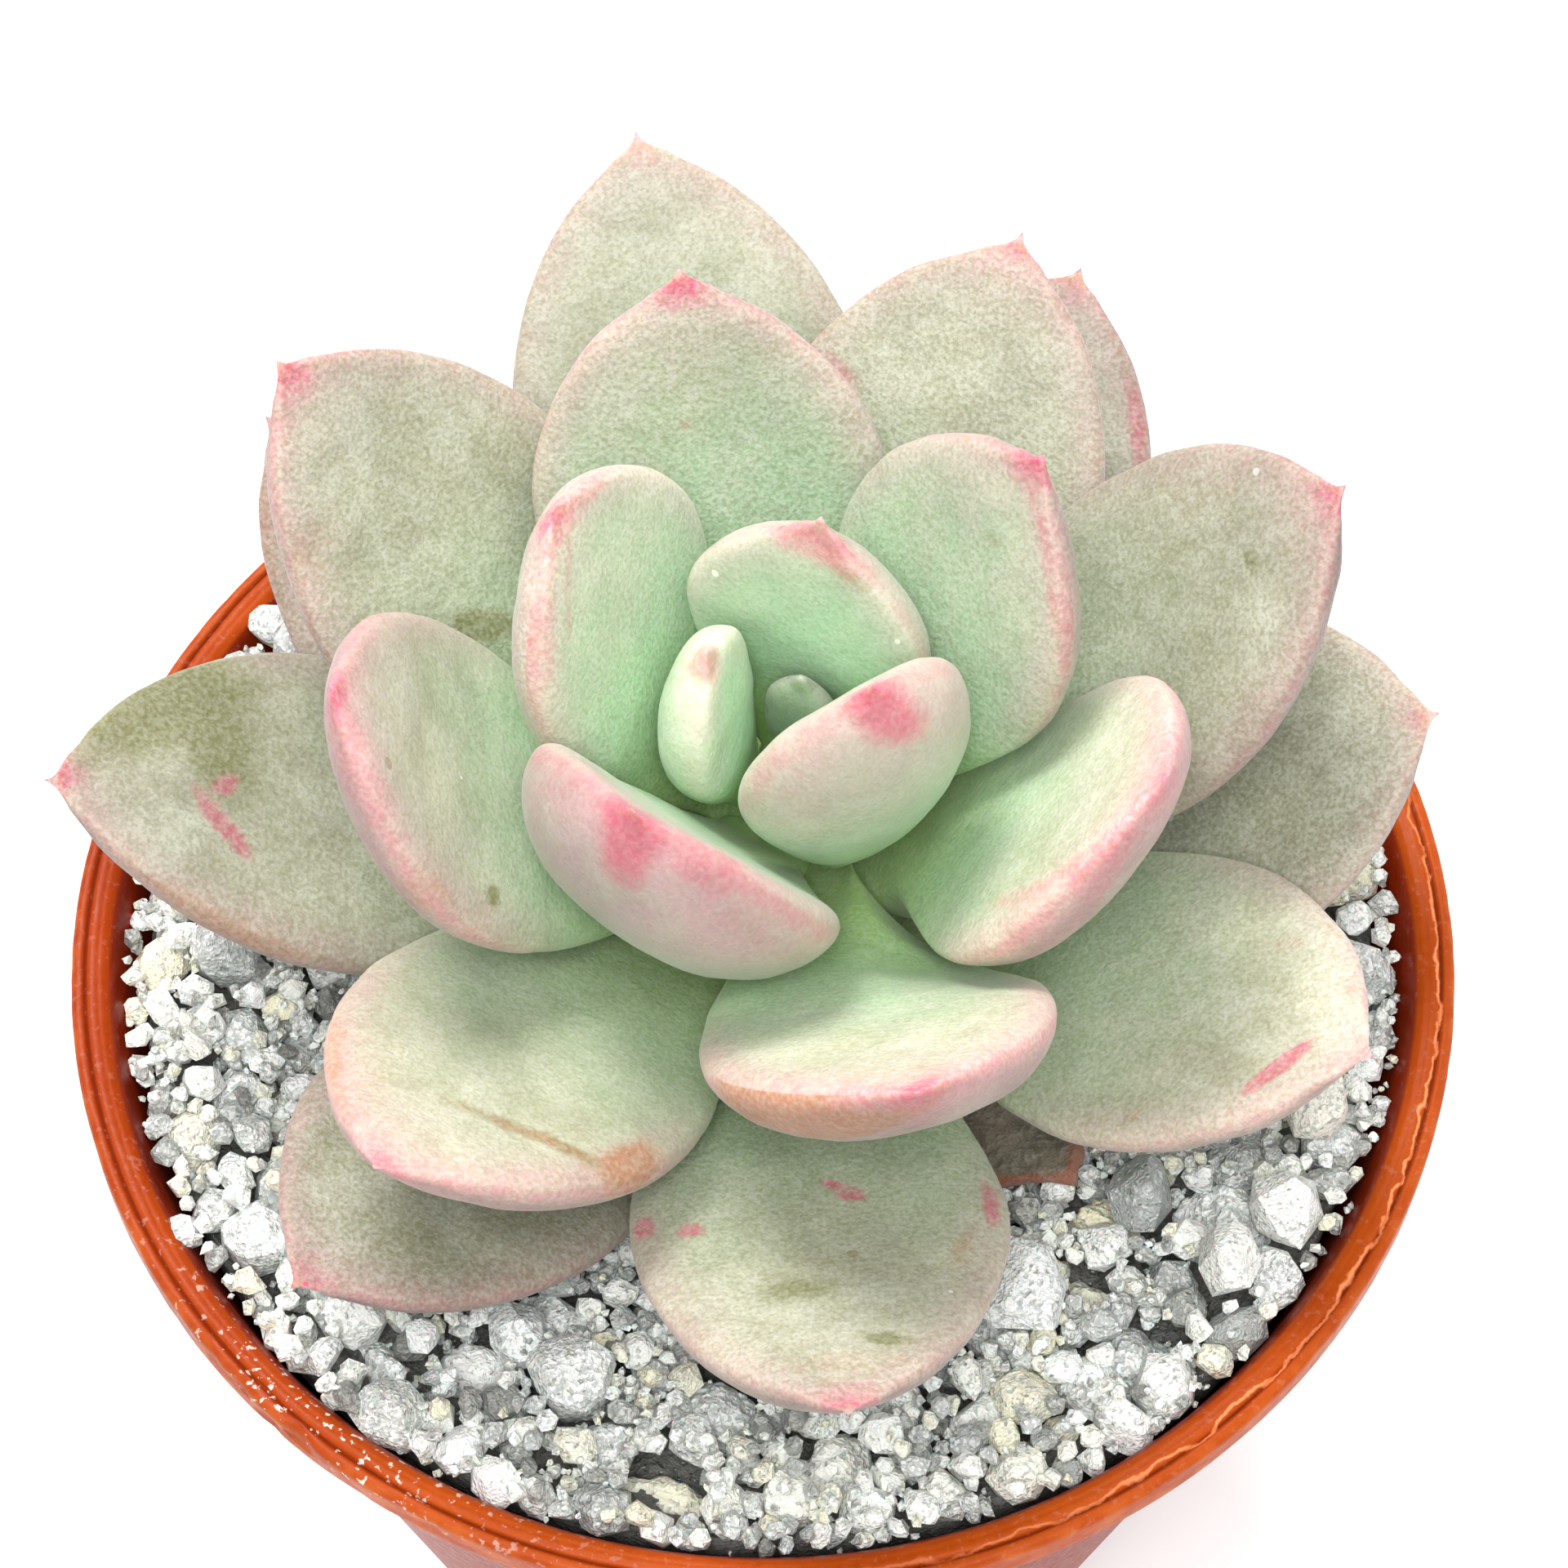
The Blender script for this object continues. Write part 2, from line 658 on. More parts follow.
def mineral_material(name, settings, crystals):
    """Mineral whose greyness, warmth and darkness are stored on its points."""
    plain = {"Subsurface Weight": 0.2, "Subsurface Scale": 0.5 * MM, "Specular IOR Level": 0.5}
    net = Finish(name, plain)
    greyness, warmth, darkness = net.parts(net.attribute("tone", "Vector"))
    sockets = {"Vector": net.place, "Crystals": crystals, "Greyness": greyness, "Warmth": warmth}
    made = net.use(mineral_group(settings), sockets)
    net.colour = made["Color"]
    net.coat((0.022, 0.021, 0.016), darkness)
    return net.done(made["Height"], 1.0, 0.08 * MM, made["Roughness"])


# Size of a lump and its height, for the stones and for the dust under the grains.
STONE_RELIEF = ((1.6 * MM, 0.30 * MM), (0.7 * MM, 0.12 * MM), (0.28 * MM, 0.12 * MM))
DUST_RELIEF = ((1.8 * MM, 0.35 * MM), (0.55 * MM, 0.30 * MM), (0.25 * MM, 0.12 * MM))
# Greyness, warmth and darkness of the larger stones, in the order of their nodes.
STONE_TONES = (
    (0.45, 0.00, 0.00),
    (0.00, 1.30, 0.00),
    (0.00, 1.00, 0.00),
    (0.00, 0.70, 0.00),
    (0.55, 0.00, 0.10),
    (0.20, 0.30, 0.00),
    (0.40, 0.05, 0.05),
    (0.45, 0.00, 0.00),
    (0.20, 0.80, 0.00),
    (0.35, 0.10, 0.00),
    (0.05, 0.10, 0.00),
    (0.50, 0.00, 0.10),
    (0.40, 0.10, 0.00),
    (0.35, 0.10, 0.05),
)


class SUCCULENT_OT_stones(bpy.types.Operator):
    """Rounds and roughens the larger stones that lie on the grit"""

    bl_idname = "succulent.stones"
    bl_label = "Larger stones"

    def execute(self, context):
        settings = context.scene.succulent_grit
        rock = mineral_material("stone_rock", settings, 5600.0)
        for number, (node, tone) in enumerate(zip(STONE_NODES, STONE_TONES), 1):
            stone = copy_of_node(node, f"stone_{number:02d}")
            modify(stone, "REMESH", mode="VOXEL", voxel_size=0.11 * MM)
            modify(stone, "SMOOTH", factor=0.5, iterations=2)
            apply_modifiers(stone)
            roughen(stone.data, STONE_RELIEF)
            store_same(stone.data, "tone", tone)
            shade(stone)
            claim(stone, "stone", rock, node)
        return {"FINISHED"}


# Grains are drawn a little larger than they are dropped, so that they meet.
GRAIN_FILL = 1.15
# The least and most that a grain is stretched along its three sides.
GRAIN_STRETCH = ((0.85, 1.2), (0.8, 1.05), (0.75, 1.0))
# How far a stone, and a grain laid by hand, keep others from lying on them, in radii.
STONE_CLEARANCE, CHOSEN_CLEARANCE, GRAIN_CLEARANCE = 0.85, 0.7, 0.3


def make_chip(name, corners, chance):
    """A crushed grain about one unit in radius: the hull of a few corners on a ball."""
    only()
    bpy.ops.mesh.primitive_ico_sphere_add(subdivisions=4, radius=1.0)
    chip = named(name)
    edit(chip, everything=False)
    bm = bmesh.from_edit_mesh(chip.data)
    apart = 1.9 / math.sqrt(corners)
    kept = []
    for vert in chance.sample(list(bm.verts), len(bm.verts)):
        if len(kept) < corners and all((vert.co - other.co).length > apart for other in kept):
            kept.append(vert)
    for vert in bm.verts:
        vert.select = vert not in kept
    for vert in kept:
        vert.co *= chance.uniform(0.82, 1.12)
    bm.select_flush_mode()
    bmesh.update_edit_mesh(chip.data)
    bpy.ops.mesh.delete(type="VERT")
    bpy.ops.mesh.select_all(action="SELECT")
    bpy.ops.mesh.convex_hull(join_triangles=False)
    bpy.ops.mesh.normals_make_consistent(inside=False)
    bpy.ops.object.mode_set(mode="OBJECT")
    return chip


INNER_WALL = BED_HIGH.x + 0.45 * MM
FINES_TOP = BED_HIGH.z + 0.4 * MM


def inner_wall_at(height):
    """The radius of the pot's inner wall, which leans out, at a height above the bed."""
    lean = 0.9 * MM
    return INNER_WALL + (height - BED_HIGH.z) / (POT_HIGH.z - BED_HIGH.z) * lean


def bank(x, y):
    """How much higher the grit lies towards the pot's wall."""
    rise = 2.6 * MM
    return rise * (math.hypot(x, y) / INNER_WALL) ** 5


# How deep a grain sits on the dust and between its neighbours, in radii, and how many places
# are tried for each grain.
SINK, NESTING, GRAIN_TRIES = 0.75, 0.93, 3
# Side of the squares by which a grain's neighbours are found, wider than two grains' reach.
HEAP_SQUARE = 3.2 * MM


class Heap:
    """Grains dropped one by one on the dust, each coming to rest on those below."""

    def __init__(self, ceiling):
        self.squares = {}
        self.kept_clear = []
        self.ceiling = ceiling

    def key(self, x, y):
        return math.floor(x / HEAP_SQUARE), math.floor(y / HEAP_SQUARE)

    def add(self, x, y, z, radius):
        self.squares.setdefault(self.key(x, y), []).append((x, y, z, radius))

    def rest(self, x, y, radius):
        """The height at which a grain of this radius comes to rest."""
        height = FINES_TOP + bank(x, y) + radius * SINK
        column, row = self.key(x, y)
        near = [(column + step_x, row + step_y) for step_x in (-1, 0, 1) for step_y in (-1, 0, 1)]
        for square in near:
            for ox, oy, oz, other in self.squares.get(square, ()):
                reach = (radius + other) * NESTING
                gap = reach * reach - (x - ox) ** 2 - (y - oy) ** 2
                if gap > 0:
                    height = max(height, oz + math.sqrt(gap))
        return height

    def drop(self, radius, chance):
        """The lowest of a few random places clear of the stones, or None if there's no room."""
        best = None
        own = radius * GRAIN_CLEARANCE
        for _ in range(GRAIN_TRIES):
            reach = (INNER_WALL + 0.7 * MM - radius * 0.9) * math.sqrt(chance.random())
            angle = chance.uniform(0.0, math.tau)
            x, y = reach * math.cos(angle), reach * math.sin(angle)
            if any(math.hypot(x - a, y - b) < clear + own for a, b, clear in self.kept_clear):
                continue
            z = self.rest(x, y, radius)
            if reach + radius * 0.95 > inner_wall_at(z):
                continue
            if best is None or z < best[2]:
                best = (x, y, z)
        if best is None or best[2] + radius > self.ceiling(*best[:2], radius):
            return None
        self.add(*best, radius)
        return best


def plant_ceiling(top):
    """How high a grain may reach: the grit's surface, or just under the plant."""
    points, faces = [], []
    for name in [*LEAF_NODES, "stem"]:
        mesh = NODES[name].data
        start = len(points)
        points += [vert.co.copy() for vert in mesh.vertices]
        faces += [[start + index for index in face.vertices] for face in mesh.polygons]
    tree = BVHTree.FromPolygons(points, faces)
    up = Vector((0.0, 0.0, 1.0))

    def ceiling(x, y, radius):
        from_middle = math.hypot(x, y) / (18.0 * MM)
        hollow = 0.9 * MM * max(0.0, 1.0 - from_middle)
        limit = min(top + bank(x, y), POT_HIGH.z + 0.2 * MM) - hollow
        for step_x, step_y in ((0, 0), (radius, 0), (-radius, 0), (0, radius), (0, -radius)):
            hit = tree.ray_cast(Vector((x + step_x, y + step_y, BED_LOW.z)), up)[0]
            if hit is not None:
                limit = min(limit, hit.z - 0.15 * MM)
        return limit

    return ceiling


# Size class: name, number of drops, smallest and largest radius, corners of a grain.
GRAIN_CLASSES = (
    ("coarse_grains", 4500, 0.62 * MM, 1.40 * MM, 26),
    ("medium_grains", 14000, 0.32 * MM, 0.62 * MM, 16),
    ("fine_grains", 11000, 0.14 * MM, 0.30 * MM, 9),
)
# Larger grains put by hand: x, y, radius in millimetres, then greyness, warmth and darkness.
CHOSEN_GRAINS = (
    (14.8, -10.8, 1.6, 0.9, 0.0, 0.35),
    (-15.6, -15.9, 1.3, 0.2, 0.1, 0.0),
    (-21.2, -11.6, 0.9, 0.5, 0.0, 0.0),
    (-22.2, -12.8, 0.8, 0.5, 0.0, 0.0),
    (-20.4, -10.3, 0.8, 0.4, 0.0, 0.0),
    (-24.0, -1.1, 1.1, 0.1, 0.9, 0.0),
    (-7.8, -15.8, 1.3, 0.5, 0.1, 0.0),
    (-20.6, -3.7, 1.2, 0.6, 0.0, 0.1),
    (-21.3, -0.6, 1.6, 0.7, 0.0, 0.1),
    (-20.8, -6.3, 1.1, 0.5, 0.0, 0.0),
    (-13.8, -20.0, 1.3, 0.6, 0.2, 0.0),
    (-5.7, -21.1, 1.2, 0.6, 0.0, 0.0),
    (23.6, -0.5, 1.4, 0.5, 0.0, 0.1),
    (23.8, 3.6, 1.1, 0.1, 0.8, 0.0),
    (22.4, -8.4, 1.2, 0.5, 0.0, 0.1),
    (18.8, -8.6, 1.2, 0.6, 0.0, 0.2),
    (-19.4, -13.0, 1.4, 0.5, 0.0, 0.0),
    (-7.1, -18.6, 1.5, 0.5, 0.1, 0.0),
    (9.8, -14.9, 1.7, 0.3, 0.0, 0.0),
    (15.8, -14.2, 1.2, 0.7, 0.0, 0.3),
    (-18.8, 14.4, 1.4, 0.2, 0.0, 0.0),
    (-18.4, 12.2, 1.1, 0.3, 0.0, 0.0),
    (-11.1, -21.4, 1.0, 0.1, 0.0, 0.0),
    (7.0, -23.0, 1.0, 0.2, 0.3, 0.0),
    (19.8, -14.0, 1.2, 0.5, 0.0, 0.0),
    (8.4, -20.0, 1.2, 0.2, 0.1, 0.0),
    (-9.2, -16.6, 1.2, 0.4, 0.0, 0.0),
    (-22.2, -8.6, 1.1, 0.1, 0.6, 0.0),
    (-20.6, 14.4, 1.0, 0.5, 0.0, 0.05),
    (-19.4, 13.0, 1.1, 0.6, 0.0, 0.05),
    (-21.9, 12.3, 0.9, 0.4, 0.2, 0.05),
    (-21.0, 11.0, 1.0, 0.5, 0.1, 0.05),
    (20.2, -11.6, 1.5, 0.1, 0.1, 0.0),
    (17.9, -13.9, 1.4, 0.1, 0.2, 0.0),
    (21.6, -7.6, 1.3, 0.2, 0.5, 0.0),
)


def grain_tone(chance):
    """The greyness, warmth and darkness of a grain: white, glassy grey, beige or dark."""
    pick = chance.random()
    if pick < 0.50:
        return chance.uniform(0.0, 0.25), chance.uniform(0.0, 0.30), 0.0
    if pick < 0.80:
        return chance.uniform(0.40, 1.0), chance.uniform(0.0, 0.15), chance.uniform(0.05, 0.42)
    if pick < 0.95:
        return chance.uniform(0.05, 0.30), chance.uniform(0.5, 1.0), 0.0
    return chance.uniform(0.6, 1.0), 0.3, chance.uniform(0.3, 0.7)


def lay_grains(name, chips, places, chance):
    """Copies chips to their places, each turned and stretched its own way, and joins them."""
    copies = []
    for number, (x, y, z, radius, tone) in enumerate(places):
        mesh = chips[number % len(chips)].data.copy()
        first, second = (Matrix.Rotation(chance.uniform(0, math.tau), 4, axis) for axis in "ZX")
        stretch = [chance.uniform(*ends) for ends in GRAIN_STRETCH]
        shape = Matrix.Translation((x, y, z)) @ (first @ second) @ Matrix.Diagonal((*stretch, 1.0))
        mesh.transform(shape @ Matrix.Scale(radius * GRAIN_FILL, 4))
        store_same(mesh, "tone", tone)
        copies.append(new_object(f"{name}_{number}", mesh))
    only(*copies)
    bpy.ops.object.join()
    return named(name)


def fines_bed(ceiling):
    """The uneven layer of grit dust that the grains lie on, a ring round the plant's stem."""
    low, near, wide = BED_HIGH.z + 0.1 * MM, 6.0 * MM, INNER_WALL - 0.25 * MM
    profile = [(near, low)] + line_points((near, low), (wide, low), 10)
    profile += line_points((wide, low), (wide, FINES_TOP), 3)
    profile += line_points((wide, FINES_TOP), (near, FINES_TOP), 90)
    profile += line_points((near, FINES_TOP), (near, low), 3)
    bed = lathe("fine_dust", profile, 220)
    points = points_of(bed.data)
    on_top = np.clip((points[:, 2] - low) / (FINES_TOP - low), 0, 1) ** 3
    roughen(bed.data, DUST_RELIEF, on_top)
    points = points_of(bed.data)
    for index in np.nonzero(on_top > 0)[0]:
        x, y, z = points[index]
        points[index, 2] = min(z + on_top[index] * bank(x, y), ceiling(x, y, 0.3 * MM))
    move_points(bed.data, points)
    from_stem = np.hypot(points[:, 0] - STEM_MIDDLE.x, points[:, 1] - STEM_MIDDLE.y)
    tone = np.tile((0.35, 0.25, 1.0), (len(points), 1))
    tone[:, 2] = np.clip(1.7 - from_stem / (14.0 * MM), 0.88, 1.0)
    store(bed.data, "tone", tone)
    shade(bed)
    return bed


class SUCCULENT_OT_gravel(bpy.types.Operator):
    """Drops coarse, medium and fine grains on the grit bed"""

    bl_idname = "succulent.gravel"
    bl_label = "Gravel"

    def execute(self, context):
        settings = context.scene.succulent_grit
        chance = random.Random(settings.seed)
        heap = Heap(plant_ceiling(POT_HIGH.z - settings.surface_drop))
        for node in STONE_NODES:
            low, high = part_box(node)
            middle = (low + high) / 2
            stone_radius = (high.x - low.x + high.y - low.y) / 4
            heap.add(middle.x, middle.y, middle.z, stone_radius * 0.95)
            heap.kept_clear.append((middle.x, middle.y, stone_radius * STONE_CLEARANCE))
        claim(fines_bed(heap.ceiling), "grit", mineral_material("fines", settings, 5200.0))
        for name, drops, small, large, corners in GRAIN_CLASSES:
            chips = [make_chip(f"{name}_chip_{k}", corners, chance) for k in range(6)]
            places = []
            if name == "coarse_grains":
                for *sizes, grey, warm, dark in CHOSEN_GRAINS:
                    x, y, radius = (size * MM for size in sizes)
                    spot = (x, y, heap.rest(x, y, radius))
                    heap.add(*spot, radius)
                    heap.kept_clear.append((x, y, radius * CHOSEN_CLEARANCE))
                    places.append((*spot, radius, (grey, warm, dark)))
            for _ in range(drops):
                radius = small + (large - small) * chance.random() ** 1.6
                spot = heap.drop(radius, chance)
                if spot:
                    places.append((*spot, radius, grain_tone(chance)))
            piece = lay_grains(name, chips, places, chance)
            for chip in chips:
                bpy.data.objects.remove(chip)
            shade(piece, 14)
            claim(piece, "grit", mineral_material(name, settings, 6500.0))
        return {"FINISHED"}


def earth_material(name, settings, pale):
    """Dark crumbly mix, with pale mineral dust where it is grit."""
    net = Finish(name, {"Roughness": 0.95, "Specular IOR Level": 0.2})
    crumbs = net.speckle(net.place, 1500.0, 0.35, 0.65, 5.0)
    net.colour = settings.earth
    net.coat([part * 2.2 for part in settings.earth], crumbs)
    dust = net.speckle(net.place, 2600.0, 0.52, 0.66, 4.0)
    net.coat(settings.grey, dust, pale)
    return net.done(net.plus(crumbs, dust), 0.9, 0.3 * MM)


class SUCCULENT_OT_fill(bpy.types.Operator):
    """Colours the potting mix and the bed under the gravel"""

    bl_idname = "succulent.fill"
    bl_label = "Fill"

    def execute(self, context):
        settings = context.scene.succulent_grit
        for node, pale in (("potting_mix", 0.1), ("grit_bed", 0.55)):
            mesh = NODES[node].data
            material = earth_material(f"{node}_earth", settings, pale)
            if mesh.materials:
                NODES[node].material_slots[0].material = material
            else:
                mesh.materials.append(material)
        return {"FINISHED"}


# ---------------------------------------------------------------------------
# Leaves and stem


def walk_round(fresh, last):
    """Puts a ring's points in order, along the edges that border the ring before it."""

    def borders(edge):
        return set(edge.verts) <= fresh and any(set(face.verts) & last for face in edge.link_faces)

    order = [min(fresh, key=lambda vert: vert.index)]
    while len(order) < len(fresh):
        steps = [edge.other_vert(order[-1]) for edge in order[-1].link_edges if borders(edge)]
        order.append(next(vert for vert in steps if vert not in order))
    return order


def turns_of(ring):
    return [way[start:] + way[:start] for way in (ring, ring[::-1]) for start in range(len(ring))]


def line_up(ring, before):
    """Turns or flips a ring so that its points sit opposite those of the ring before."""

    def joined(a, b):
        return any(edge.other_vert(a) is b for edge in a.link_edges)

    def cost(option):
        pairs = list(zip(option, before))
        return sum(not joined(*pair) for pair in pairs), sum((a.co - b.co).length for a, b in pairs)

    return min(turns_of(ring), key=cost)


def leaf_rings(bm, root):
    """The tip, then the rings of points down to the foot, each starting at the same leaf edge.

    The first point of a ring is on one edge of the leaf, and a quarter round is its upper face.
    """
    tip = max(bm.verts, key=lambda vert: (vert.co - root).length)
    seen = {tip}
    last = {tip}
    rings = []
    while True:
        fresh = {edge.other_vert(vert) for vert in last for edge in vert.link_edges} - seen
        if not fresh:
            break
        ring = walk_round(fresh, last)
        rings.append(line_up(ring, rings[-1]) if rings else ring)
        seen |= fresh
        last = fresh
    count = len(rings[0])
    half, quarter = count // 2, count // 4
    middle = rings[len(rings) // 2]
    start = max(range(half), key=lambda k: (middle[k].co - middle[k + half].co).length)
    rings = [ring[start:] + ring[:start] for ring in rings]
    middle = rings[len(rings) // 2]
    centre = sum((vert.co for vert in middle), Vector()) / count
    inward = root - centre
    inward.z = 0.0
    facing = inward.normalized() + Vector((0.0, 0.0, 1.0))
    if (middle[quarter].co - middle[quarter + half].co).dot(facing) < 0:
        rings = [ring[:1] + ring[:0:-1] for ring in rings]
    return tip, rings


def leaf_cage(node, name, root, pointed):
    """A leaf's solid as a cage of quads that knows where on the leaf each point is."""
    piece = copy_of_node(node, name)
    edit(piece, everything=False)
    bm = bmesh.from_edit_mesh(piece.data)
    place_layer = bm.verts.layers.float_vector.new("place")
    crease = bm.verts.layers.float.new("crease_vert")
    bm.verts.index_update()
    tip, rings = leaf_rings(bm, root)
    count = len(rings[0])
    where = {vert: (row, side) for row, ring in enumerate(rings) for side, vert in enumerate(ring)}
    centres = [tip.co.copy()]
    centres += [sum((vert.co for vert in ring), Vector()) / count for ring in rings]
    reach = [0.0]
    for first, second in zip(centres, centres[1:]):
        reach.append(reach[-1] + (second - first).length)
    tip[place_layer] = (0.0, 1.0, 0.0)
    tip[crease] = 1.0 if pointed else 0.0
    for vert, (row, side) in where.items():
        angle = math.tau * side / count
        vert[place_layer] = (math.cos(angle), 1.0 - reach[row + 1] / reach[-1], math.sin(angle))
    foot = len(rings) - 1
    for edge in bm.edges:
        if tip in edge.verts:
            continue
        (row_a, side_a), (row_b, side_b) = (where[vert] for vert in edge.verts)
        step = (side_a - side_b) % count
        across_foot = row_a == row_b == foot and step not in (1, count - 1)
        edge.select = across_foot or (row_a != row_b and step != 0)
    bmesh.update_edit_mesh(piece.data)
    bpy.ops.mesh.dissolve_edges(use_verts=False)
    bpy.ops.object.mode_set(mode="OBJECT")
    return piece, reach[-1]


def fit_cage(piece, rounds=3):
    """Moves the cage's points until the smooth surface passes through where they were."""
    wanted = points_of(piece.data)
    cage = wanted.copy()
    for _ in range(rounds):
        graph = bpy.context.evaluated_depsgraph_get()
        smooth = points_of(piece.evaluated_get(graph).data)[: len(wanted)]
        cage = cage + (wanted - smooth) * 0.9
        move_points(piece.data, cage)


def sharpen_tip(points, tip, reach):
    """Draws the last part of the leaf in to a fine point."""
    away = np.linalg.norm(points - tip, axis=1)
    near = away < reach
    axis = (points[near].mean(axis=0) - tip) if near.any() else np.array((0.0, 0.0, 1.0))
    axis /= np.linalg.norm(axis)
    along = (points[near] - tip) @ axis
    spine = tip + along[:, None] * axis
    share = np.clip(away[near] / reach, 0.05, 1.0) ** 0.7
    points[near] = spine + (points[near] - spine) * share[:, None]
    return points


# Kinds of mark, by their column in a leaf's "marks".
PINK, TAN, GREEN = 0, 1, 2
# Scars, scratches and stains: leaf, where across and along it, side of the leaf (0 is both),
# length and width in millimetres, turn in degrees, kind and strength.
MARKS = (
    # Blotches below the tips of the young leaves.
    (1, -0.1, 0.96, 0, 2.0, 1.5, 90, PINK, 0.55),
    (2, -0.18, 0.92, -1, 3.0, 1.8, 60, PINK, 0.9),
    (4, -0.15, 0.94, -1, 3.2, 1.7, 100, PINK, 0.95),
    (4, -0.98, 0.89, 0, 2.0, 0.9, 95, PINK, 0.5),
    (3, 0.0, 0.92, 1, 5.5, 1.3, 0, PINK, 0.6),
    (3, 0.5, 0.88, 1, 2.0, 0.9, 160, TAN, 0.4),
    (6, -0.5, 0.93, 1, 6.0, 1.2, 20, PINK, 0.45),
    (6, 0.93, 0.84, 1, 4.7, 1.4, 90, PINK, 0.4),
    (6, 0.44, 0.85, 1, 4.0, 0.8, 115, PINK, 0.35),
    (5, -0.87, 0.84, 1, 5.4, 1.2, 70, PINK, 0.5),
    (5, -0.1, 0.80, 1, 0.6, 0.5, 0, GREEN, 0.6),
    # Tan and rosy patches on the middle leaves.
    (7, 0.82, 0.82, -1, 6.0, 2.4, 110, TAN, 1.6),
    (9, -0.73, 0.61, 1, 0.9, 0.7, 0, GREEN, 1.3),
    (9, -0.95, 0.74, 0, 2.3, 0.8, 100, TAN, 0.4),
    (10, 0.95, 0.88, 0, 4.0, 1.2, 60, PINK, 0.5),
    (10, 0.77, 0.75, 1, 6.0, 1.0, 75, PINK, 0.4),
    (11, 0.06, 0.72, 1, 0.6, 0.5, 50, PINK, 0.5),
    (13, 0.07, 0.82, 1, 0.9, 0.6, 15, GREEN, 1.0),
    (14, 0.22, 0.51, 1, 2.4, 1.1, 55, GREEN, 1.7),
    (14, 0.76, 0.79, 1, 3.0, 2.2, 0, TAN, 0.3),
    (16, -0.71, 0.69, 1, 2.7, 0.7, 165, PINK, 0.6),
    # The long scratch and the worn edge of the lower left leaf.
    (12, -0.51, 0.75, 1, 5.5, 0.7, 20, GREEN, 0.9),
    (12, -0.51, 0.75, 1, 5.5, 0.7, 20, TAN, 0.6),
    (12, -0.88, 0.67, 1, 3.2, 1.7, 95, TAN, 1.1),
    (12, 0.95, 0.83, 0, 5.0, 1.0, 90, TAN, 0.6),
    # Rings, dots and dull stains on the lowest leaf.
    (15, 0.64, 0.61, 1, 0.9, 0.6, 25, PINK, 1.4),
    (15, 0.90, 0.59, 1, 0.9, 0.6, 95, PINK, 1.3),
    (15, -0.07, 0.54, 1, 0.7, 0.5, 0, PINK, 1.5),
    (15, -0.16, 0.56, 1, 0.7, 0.5, 0, PINK, 1.5),
    (15, -0.88, 0.59, 1, 2.2, 0.5, 90, PINK, 1.0),
    (15, 0.16, 0.75, 1, 2.6, 1.2, 5, GREEN, 0.9),
    (15, -0.37, 0.86, 1, 1.6, 0.7, 160, GREEN, 1.1),
    (15, -0.12, 0.90, 1, 4.0, 1.4, 0, TAN, 0.35),
    (15, -0.72, 0.68, 1, 2.7, 1.0, 80, TAN, 0.45),
    # The scarred leaf on the left.
    (17, -0.24, 0.76, 1, 2.8, 0.7, 40, PINK, 1.4),
    (17, 0.02, 0.75, 1, 1.0, 0.6, 120, PINK, 1.3),
    (17, 0.72, 0.82, 1, 6.4, 4.0, 80, GREEN, 1.5),
    (17, 0.38, 0.76, 1, 5.0, 2.6, 20, GREEN, 1.3),
    (17, -0.98, 0.78, 0, 7.5, 0.9, 92, TAN, 0.7),
    # The bruised tip on the right.
    (18, 0.42, 0.87, 1, 2.2, 0.7, 150, PINK, 1.8),
    (18, -0.58, 0.76, 1, 1.4, 0.8, 115, TAN, 0.4),
    (18, 0.81, 0.69, 1, 0.8, 0.7, 40, TAN, 0.6),
    # Dull stains and red edges of the oldest leaves.
    (20, -0.3, 0.83, 1, 6.0, 2.4, 20, GREEN, 0.5),
    (20, 0.55, 0.78, 1, 4.3, 2.0, 60, GREEN, 0.5),
    (22, -0.9, 0.88, 0, 5.0, 1.2, 90, TAN, 0.5),
    (24, -0.88, 0.79, 0, 3.4, 0.8, 90, PINK, 0.9),
)


def mark_leaf(number, place, width, length):
    """How strongly each mark colours each point of a leaf, one column for each kind."""
    shares = np.zeros((len(place), 3))
    for leaf, across, along, side, *size, turn, kind, strength in MARKS:
        if leaf != number:
            continue
        u = (place[:, 0] - across) * width
        v = (place[:, 1] - along) * length
        c, s = math.cos(math.radians(turn)), math.sin(math.radians(turn))
        far = np.hypot((u * c + v * s) / (size[0] / 2), (v * c - u * s) / (size[1] / 2))
        spot = np.clip(1.5 - far, 0, 1) * (place[:, 2] * side > -0.15) * strength
        shares[:, kind] = np.maximum(shares[:, kind], spot)
    return shares


